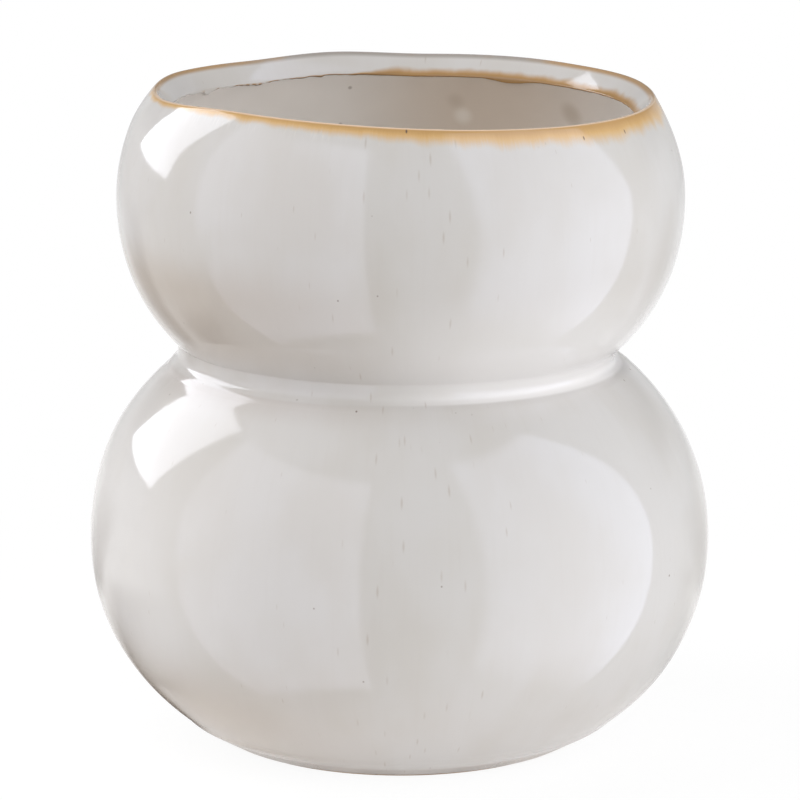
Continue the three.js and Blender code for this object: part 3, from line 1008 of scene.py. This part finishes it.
class VASE_OT_studio(bpy.types.Operator):
    """Builds the floor, the light, the cards that the glaze reflects, and the camera"""

    bl_idname = "vase.studio"
    bl_label = "Studio"
    bl_options = {"REGISTER", "UNDO"}

    def execute(self, context):
        settings = context.scene.vase_studio
        middle = Vector((0, 0, settings.aim_height))
        self.camera(context.scene, settings, middle)
        self.world(context.scene, settings)
        self.floor(context.scene, settings)
        for card in CARDS:
            self.card(context.scene, settings, middle, card)
        for lamp in LAMPS:
            self.lamp(context.scene, settings, middle, lamp)
        context.scene.view_settings.view_transform = "Standard"
        return {"FINISHED"}

    def camera(self, scene, settings, middle):
        data = bpy.data.cameras.new("camera")
        data.lens = settings.focal_length
        data.sensor_width = SENSOR_WIDTH
        camera = bpy.data.objects.new("camera", data)
        place = Vector((0, -settings.camera_back, settings.camera_height))
        look = (middle - place).to_track_quat("-Z", "Y").to_matrix().to_4x4()
        camera.matrix_world = Matrix.Translation(place) @ look @ Matrix.Rotation(settings.camera_roll, 4, "Z")
        scene.collection.objects.link(camera)
        scene.camera = camera

    def world(self, scene, settings):
        """White where the camera sees it, softer as light, and dimmer behind and above in reflections."""
        scene.world = bpy.data.worlds.new("white_room")
        scene.world.use_nodes = True
        tree = scene.world.node_tree
        tree.nodes.clear()
        direction = add(tree, "ShaderNodeTexCoord", {}).outputs["Generated"]
        back, above = add(tree, "ShaderNodeSeparateXYZ", {0: direction}).outputs[1:]
        dark = share_where(tree, 1, (back, 0.35, 0.75), (above, 0.05, 0.25))
        bright = settings.room_gloss
        dim = 0.4 * bright
        gloss = add(tree, "ShaderNodeMapRange", {"Value": dark, LOW: bright, HIGH: dim})
        gloss, light, white = (
            add(tree, "ShaderNodeBackground", {"Color": linear("#FFFFFF"), "Strength": strength})
            for strength in (gloss, settings.room_light, 1)
        )
        rays = add(tree, "ShaderNodeLightPath", {}).outputs
        room = add(tree, "ShaderNodeMixShader", {0: rays["Is Glossy Ray"], 1: light, 2: gloss})
        room = add(tree, "ShaderNodeMixShader", {0: rays["Is Camera Ray"], 1: room, 2: white})
        add(tree, "ShaderNodeOutputWorld", {"Surface": room})

    def floor(self, scene, settings):
        """A white paper floor, which lights the vase from below, keeps a soft shadow and shows in gloss."""
        material = bpy.data.materials.new("White paper floor")
        material.use_nodes = True
        material.cycles.emission_sampling = "NONE"
        tree = material.node_tree
        tree.nodes.clear()
        place = add(tree, "ShaderNodeTexCoord", {}).outputs["Object"]
        aside, depth = add(tree, "ShaderNodeSeparateXYZ", {0: place}).outputs[:2]
        distance = add(tree, "ShaderNodeVectorMath", {0: place}, operation="LENGTH").outputs["Value"]
        back = add(tree, "ShaderNodeMath", {0: depth, 1: distance}, operation="DIVIDE")
        at = SimpleNamespace(place=place, aside=aside, depth=depth, distance=distance, back=back)
        lit = self.floor_light(tree, at)
        white = self.floor_in_view(tree, at)
        mirrored = self.floor_in_gloss(tree, at, lit, white)
        rays = add(tree, "ShaderNodeLightPath", {}).outputs
        surface = add(tree, "ShaderNodeMixShader", {0: rays["Is Camera Ray"], 1: lit, 2: white})
        surface = add(tree, "ShaderNodeMixShader", {0: rays["Is Glossy Ray"], 1: surface, 2: mirrored})
        add(tree, "ShaderNodeOutputMaterial", {"Surface": surface})
        mesh = bmesh.new()
        bmesh.ops.create_circle(mesh, cap_ends=True, segments=FLOOR_TURNS, radius=settings.floor_radius)
        data = bpy.data.meshes.new("floor")
        mesh.to_mesh(data)
        mesh.free()
        data.materials.append(material)
        floor = bpy.data.objects.new("floor", data)
        scene.collection.objects.link(floor)

    def floor_light(self, tree, at):
        """As light, paper that is brighter around the foot."""
        paper = add(tree, "ShaderNodeBsdfDiffuse", {"Color": linear("#D8D6D4")})
        glow = share_where(tree, 0.35, (at.distance, 340 * MM, 160 * MM))
        glow = add(tree, "ShaderNodeEmission", {"Color": linear("#FBFBFC"), "Strength": glow})
        return add(tree, "ShaderNodeAddShader", {0: paper, 1: glow})

    def floor_in_view(self, tree, at):
        """To the camera, white, with a soft shadow near the foot."""
        shadow = add(tree, "ShaderNodeBsdfDiffuse", {"Color": linear("#505050")})
        glow = add(tree, "ShaderNodeEmission", {"Color": linear("#FFFFFF"), "Strength": 0.93})
        shadow = add(tree, "ShaderNodeAddShader", {0: shadow, 1: glow})
        white = add(tree, "ShaderNodeEmission", {"Color": linear("#FFFFFF"), "Strength": 1})
        off_foot = share_where(tree, 1, (at.distance, 120 * MM, 300 * MM))
        return add(tree, "ShaderNodeMixShader", {0: off_foot, 1: shadow, 2: white})

    def floor_in_gloss(self, tree, at, lit, white):
        """To reflections, paper near the foot, with dimmer and whiter places, fading into the white room."""
        # Dim on a slant behind, more so on the left
        slant = add(tree, "ShaderNodeVectorMath", {0: at.place}, operation="NORMALIZE")
        slant = add(tree, "ShaderNodeVectorMath", {0: slant}, operation="ABSOLUTE")
        slant = add(tree, "ShaderNodeVectorMath", {0: slant, 1: (0.719, 0.695, 0)}, operation="DOT_PRODUCT")
        slant = slant.outputs["Value"]
        left = add(tree, "ShaderNodeMapRange", {"Value": at.aside, START: 50 * MM, END: -50 * MM, LOW: 0.45})
        share = share_where(
            tree, left, (slant, 0.97, 0.995), (at.depth, 20 * MM, 80 * MM), (at.distance, 160 * MM, 210 * MM),
        )
        dim = add(tree, "ShaderNodeBsdfDiffuse", {"Color": linear("#8F8A86")})
        paper = add(tree, "ShaderNodeMixShader", {0: share, 1: lit, 2: dim})

        # Half lit behind the foot on the left, less so straight behind
        half_lit = add(tree, "ShaderNodeBsdfDiffuse", {"Color": linear("#6A625B")})
        behind = add(tree, "ShaderNodeMath", {0: at.depth, 1: at.aside}, operation="SUBTRACT")
        side = add(tree, "ShaderNodeMapRange", {"Value": at.back, START: 0.58, END: 0.3, LOW: 0.1})
        share = share_where(tree, side, (behind, 20 * MM, 70 * MM), (at.distance, 270 * MM, 180 * MM))
        paper = add(tree, "ShaderNodeMixShader", {0: share, 1: paper, 2: half_lit})

        # A bright edge there, close to the foot
        edge = add(tree, "ShaderNodeMath", {0: at.aside, 1: 0.79, 2: at.depth}, operation="MULTIPLY_ADD")
        share = share_where(
            tree, 0.6, (edge, -100 * MM, -88 * MM), (edge, -56 * MM, -72 * MM),
            (at.aside, -20 * MM, -40 * MM), (at.distance, 89 * MM, 79 * MM),
        )
        paper = add(tree, "ShaderNodeMixShader", {0: share, 1: paper, 2: white})

        # Half lit on the right too, a little way off the foot
        share = share_where(
            tree, 0.7, (at.aside, 100 * MM, 150 * MM), (at.distance, 180 * MM, 230 * MM),
            (at.distance, 300 * MM, 230 * MM), (at.back, 0.6, 0.4),
        )
        paper = add(tree, "ShaderNodeMixShader", {0: share, 1: paper, 2: half_lit})

        # White straight behind, where the outline looks
        share = share_where(tree, 1, (at.back, 0.62, 0.98), (at.distance, 160 * MM, 210 * MM))
        paper = add(tree, "ShaderNodeMixShader", {0: share, 1: paper, 2: white})

        # Clear in front and far away, where the cards and the room show
        before = add(tree, "ShaderNodeMath", {0: at.aside, 1: -0.27, 2: at.depth}, operation="MULTIPLY_ADD")
        before = share_where(tree, 1, (before, 60 * MM, 0), (at.distance, 70 * MM, 110 * MM))
        far = share_where(tree, 1, (at.distance, 300 * MM, 1600 * MM))
        share = add(tree, "ShaderNodeMath", {0: before, 1: far}, operation="MAXIMUM")
        clear = add(tree, "ShaderNodeBsdfTransparent", {})
        return add(tree, "ShaderNodeMixShader", {0: share, 1: paper, 2: clear})

    def card(self, scene, settings, middle, card):
        """A patch of a sphere around the vase, which only reflections see."""
        mesh = bmesh.new()
        mesh.loops.layers.uv.new("UVMap")
        bmesh.ops.create_grid(mesh, x_segments=CARD_STEPS, y_segments=CARD_STEPS, size=0.5, calc_uvs=True)
        for vert in mesh.verts:
            across = vert.co.x + 0.5
            up = vert.co.y + 0.5
            rise = mix(*card["rises"], up)
            turn = mix(mix(*card["turns"], across), mix(*card["top_turns"], across), up)
            turn -= card["bow"] * across * max(rise, 0) ** 2
            vert.co = middle + card["distance"] * towards(turn, rise)
        data = bpy.data.meshes.new(card["name"])
        mesh.to_mesh(data)
        mesh.free()
        data.materials.append(self.card_glow(settings, card))
        piece = bpy.data.objects.new(card["name"], data)
        piece.visible_camera = False
        piece.visible_diffuse = False
        piece.visible_transmission = False
        piece.visible_shadow = False
        piece.visible_volume_scatter = False
        scene.collection.objects.link(piece)

    def card_glow(self, settings, card):
        material = bpy.data.materials.new(card["name"])
        material.use_nodes = True
        material.cycles.emission_sampling = "NONE"
        tree = material.node_tree
        tree.nodes.clear()
        grid = add(tree, "ShaderNodeTexCoord", {}).outputs["UV"]
        across, up = add(tree, "ShaderNodeSeparateXYZ", {0: grid}).outputs[:2]
        left, right, low, high = card["fades"]
        left_gain, right_gain = card["gains"]
        glow = add(tree, "ShaderNodeMapRange", {"Value": across, LOW: left_gain, HIGH: right_gain})
        glow = share_where(
            tree, glow, (across, 0, left), (across, 1, 1 - right), (up, 0, low), (up, 1, 1 - high),
        )
        glow = add(tree, "ShaderNodeEmission", {"Color": linear(card["colour"]), "Strength": glow})
        room = add(tree, "ShaderNodeEmission", {"Color": linear("#FFFFFF"), "Strength": settings.room_gloss})
        both = add(tree, "ShaderNodeAddShader", {0: glow, 1: room})
        add(tree, "ShaderNodeOutputMaterial", {"Surface": both})
        return material

    def lamp(self, scene, settings, middle, lamp):
        data = bpy.data.lights.new(lamp["name"], "AREA")
        data.size = settings.lamp_width
        data.energy = lamp["power"]
        data.color = linear(lamp["colour"])[:3]
        piece = bpy.data.objects.new(lamp["name"], data)
        direction = towards(lamp["turn"], lamp["rise"])
        aim = (-direction).to_track_quat("-Z", "Y").to_matrix().to_4x4()
        piece.matrix_world = Matrix.Translation(middle + settings.lamp_distance * direction) @ aim
        piece.visible_camera = False
        piece.visible_glossy = False
        scene.collection.objects.link(piece)


OPERATORS = (VASE_OT_clay_body, VASE_OT_slip_seams, VASE_OT_outer_glaze, VASE_OT_inner_glaze, VASE_OT_studio)


class VASE_PT_pieces(bpy.types.Panel):
    """Lists what the vase is made of"""

    bl_label = "Two-bulb vase"
    bl_idname = "VASE_PT_pieces"
    bl_space_type = "VIEW_3D"
    bl_region_type = "UI"
    bl_category = "Vase"

    def draw(self, context):
        for operator in OPERATORS:
            self.layout.operator(operator.bl_idname)


CLASSES = (VaseSizes, VaseColours, StudioSettings, *OPERATORS, VASE_PT_pieces)


def register():
    for kind in CLASSES:
        bpy.utils.register_class(kind)
    bpy.types.Scene.vase_sizes = bpy.props.PointerProperty(type=VaseSizes)
    bpy.types.Scene.vase_colours = bpy.props.PointerProperty(type=VaseColours)
    bpy.types.Scene.vase_studio = bpy.props.PointerProperty(type=StudioSettings)


def unregister():
    del bpy.types.Scene.vase_studio
    del bpy.types.Scene.vase_colours
    del bpy.types.Scene.vase_sizes
    for kind in reversed(CLASSES):
        bpy.utils.unregister_class(kind)


def main():
    register()
    bpy.ops.vase.clay_body()
    bpy.ops.vase.slip_seams()
    bpy.ops.vase.outer_glaze()
    bpy.ops.vase.inner_glaze()
    bpy.ops.vase.studio()


if __name__ == "__main__":
    main()
